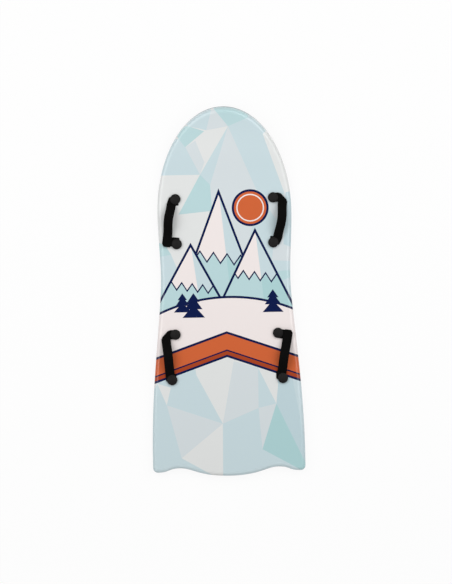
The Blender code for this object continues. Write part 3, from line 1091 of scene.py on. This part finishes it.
stripe_tip, stripe_half_width, stripe_slope = -172, 42, 0.35
above_stripe = film.y - (stripe_tip - film.sum("ABSOLUTE", film.x) * stripe_slope)
field = film.disc((10, -560), 545)
film.outlined(field & above_stripe, line, ink["cream"], ink["navy"])
for place in ((-142, -66, 62), (-106, -84, 80), (152, -70, 74)):
    paint_pine(*place)
stripe = stripe_half_width - film.sum("ABSOLUTE", above_stripe)
stripe = stripe / math.hypot(1, stripe_slope)
film.outlined(stripe, line, ink["orange"], ink["navy"])
pinstripe_drop, pinstripe_width = 22, 5
pinstripe = above_stripe + pinstripe_drop
film.paint((pinstripe > 0) & (pinstripe < pinstripe_width), ink["navy"])
film.paint((pinstripe < 0) & (stripe > line), ink["rust"])
print(len(film.nodes), "nodes in the whole print")

# %% [markdown]
# Laminated film is glossy, but over foam it is never quite flat: it has a faint orange peel from
# the foam's beads, and it dips and swells by a few hundredths of a millimetre over a hand's width.
# Both go into the bump, and the peel goes a little into the roughness.

# %% Gloss of the film
peel = film.noise(film.place(), 420, 2.0)
swell = film.noise(film.place(), 14, 2.0)
film.set(
    Base_Color=film.colour,
    Roughness=0.13 + peel * 0.06,
    Normal=film.bump(swell + peel * 0.08, 0.15, 0.0012))
film.cover(deck)

# %% [markdown]
# ## Base, foam and fittings
#
# The base sheet is dark, smooth plastic with fine scuffs along its length, where it has slid. The
# foam core shows only at the parting line and down the rivet holes, but it is still closed-cell
# foam: small cells with thin walls. Rivets and nuts are moulded in black plastic with a satin
# grain, and their most rounded rims are painted a little paler, a painted highlight.

# %% Slick plastic
slick = Finish("slick_plastic_sheet")
place = slick.place()
long_scuffs = slick.noise(slick.stretched(place, 900, 9, 900), 1, 4.0)
faint_scuffs = slick.noise(slick.stretched(place, 160, 5, 160), 1)
scuff = limited((long_scuffs - 0.56) * 6)
cloud = slick.noise(place, 7)
base_colour = slick.mix(cloud, (0.085, 0.115, 0.135), (0.115, 0.145, 0.165))
slick.set(
    Base_Color=slick.mix(scuff * 0.35, base_colour, (0.26, 0.29, 0.31)),
    Roughness=0.24 + scuff * 0.22 + cloud * 0.12,
    Normal=slick.bump(long_scuffs * 0.5 + faint_scuffs, 0.25, 0.0004))
slick.cover(base)

# %% Closed-cell foam
foam = Finish("closed_cell_foam")
place = foam.place()
cells = foam.node(
    "TexVoronoi", {"feature": "DISTANCE_TO_EDGE"}, {"Vector": place, "Scale": 520})
walls = (cells * 6) & 1
foam.set(
    Base_Color=foam.mix(walls, (0.90, 0.91, 0.92), (0.80, 0.82, 0.84)),
    Roughness=0.95 - walls * 0.12,
    Normal=foam.bump(walls, 0.5, 0.0004))
foam.cover(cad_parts["foam_core"])

# %% Moulded plastic of rivets and nuts


def moulded(name, dark, rim_highlight, grain):
    plastic = Finish(name)
    place = plastic.place()
    fine = plastic.noise(place, 2600, 2.0)
    broad = plastic.noise(place, 90)
    # Where the surface is most convex, the rims get a paler colour: a painted highlight.
    edges = plastic.node("NewGeometry", output=7)
    rim_highlight_share = limited((edges - 0.53) * 9)
    plastic.set(
        Base_Color=plastic.mix(rim_highlight_share * broad, dark, rim_highlight),
        Roughness=0.46 + broad * 0.16,
        Specular_IOR_Level=0.15,
        Normal=plastic.bump(fine, grain, 0.0003))
    return plastic


# The second colour of each is the paler one painted on the rims as a highlight.
moulded("rivet_satin", (0.0095, 0.0088, 0.0086), (0.04, 0.038, 0.037), 0.35).cover(*rivets)
moulded("nut_satin", (0.040, 0.039, 0.039), (0.12, 0.118, 0.115), 0.30).cover(*nuts)

# %% [markdown]
# ## Webbing
#
# The handles are woven from black polyester. Its warp lies in rounded cords along the strip, and
# the weft pulls them down at every crossing, so the surface is a field of small oval bumps whose
# columns are offset by half a step. The strip's own UV map holds its flat millimetres, so a sine
# across and a sine along draw the cords wherever the strip folds or arches.

# %% Weave
weave = Finish("woven_polyester")
uv = weave.node("UVMap")
across, along, _ = weave.axes(uv)
cord_width, float_length = 1.3, 1.9
cord = weave.sum("SINE", across * (math.pi / cord_width))
cord = cord * cord
step = weave.sum("FLOOR", across / cord_width)
pull = weave.sum("SINE", (along + step * float_length * 0.5) * (math.pi / float_length))
pull = pull * pull
height = cord * (0.45 + pull * 0.55)
yarn = weave.noise(weave.stretched(uv, 2.2, 0.12, 1), 1)
fuzz = weave.noise(weave.place(), 1800)
# The colour is darker down in the hollows between the cords, a painted shade, and the yarn noise
# varies its tone at random.
shade = height * 0.55 + yarn * 0.45
weave.set(
    Base_Color=weave.mix(shade, (0.0009, 0.0009, 0.0008), (0.0066, 0.0063, 0.0058)),
    Roughness=0.78 + fuzz * 0.15,
    Specular_IOR_Level=0.07,
    Normal=weave.bump(height + fuzz * 0.15, 0.7, 0.0006))
weave.cover(*strips)

# %% [markdown]
# ## Floor, light and camera
#
# The photograph is a plain product shot from straight above on white, in very soft light. So the
# world is a light tent of grey cloth, paler above, with a dark opening straight overhead for the
# camera. The flat deck mirrors that opening, which keeps the print's colours deep, and the round
# rails mirror the cloth, which gives them their bright line. Two large lamps hang high at left and
# right, towards the nose, where the photograph is lightest. The tent is white only to the camera,
# and the floor to the camera and in reflections. The floor keeps a little of its own shading, so
# the sled casts a soft shadow.

# %% Floor
deselect()
bpy.ops.mesh.primitive_plane_add(size=16, location=(0, 0, -0.0005))
floor = bpy.context.object
floor.name = "studio_floor"
paper = Finish("floor_paper")
white = paper.node("Emission", None, {"Color": (1.0, 1.0, 1.0), "Strength": 1.0})
seen = paper.rays("Camera") | paper.rays("Glossy")
sheet = paper.node(
    "MixShader", None, {0: seen * 0.92, 1: Wire(paper, paper.shader.outputs[0]), 2: white})
paper.set(Base_Color=(0.86, 0.86, 0.86), Roughness=0.9)
paper.links.new(sheet.socket, paper.nodes["Material Output"].inputs["Surface"])
paper.cover(floor)

# %% Lamps and world
lamp_aside, lamp_forward, lamp_height = 2.1, 1.1, 3.0
lamp_side, lamp_watts = 3.0, 54

for name, x in (("lamp_left", -lamp_aside), ("lamp_right", lamp_aside)):
    lamp = bpy.data.lights.new(name, "AREA")
    lamp.size = lamp_side
    lamp.energy = lamp_watts
    softbox = bpy.data.objects.new(name, lamp)
    softbox.location = (x, lamp_forward, lamp_height)
    bpy.context.scene.collection.objects.link(softbox)


class Tent(Finish):
    """The world round the sled, whose nodes are added like a material's."""

    def __init__(self, name):
        self.world = bpy.data.worlds.new(name)
        self.world.use_nodes = True
        self.nodes = self.world.node_tree.nodes
        self.links = self.world.node_tree.links
        self.shader = self.nodes["Background"]


tent = Tent("light_tent")
height = tent.axes(tent.node("TexCoord"))[2]
upper = limited((height - 0.25) * 2.5)
opening = limited((height - 0.955) * 60)
cloth = tent.mix(upper, (0.25, 0.25, 0.25), (0.62, 0.62, 0.62))
cloth = tent.mix(opening, cloth, (0.05, 0.05, 0.05))
seen = tent.rays("Camera")
tent.set(Color=tent.mix(seen, cloth, (1.0, 1.0, 1.0)), Strength=1.0)
bpy.context.scene.world = tent.world

# %% Camera
picture_height = 584
metres_per_pixel = 0.003249
camera_height = 12.0
camera_over = (0.0002, -0.0024)
board_lean = math.radians(-1.1)
camera_data = bpy.data.cameras.new("camera")
camera_data.sensor_width = 36
camera_data.lens = (
    camera_data.sensor_width * (camera_height - thickness) / (picture_height * metres_per_pixel))
camera = bpy.data.objects.new("camera", camera_data)
camera.location = (*camera_over, camera_height)
camera.rotation_euler = (0, 0, board_lean)
bpy.context.scene.collection.objects.link(camera)
bpy.context.scene.camera = camera
bpy.context.scene.view_settings.view_transform = "Standard"
print(f"lens {camera_data.lens:.0f} mm from {camera_height:.0f} m up")
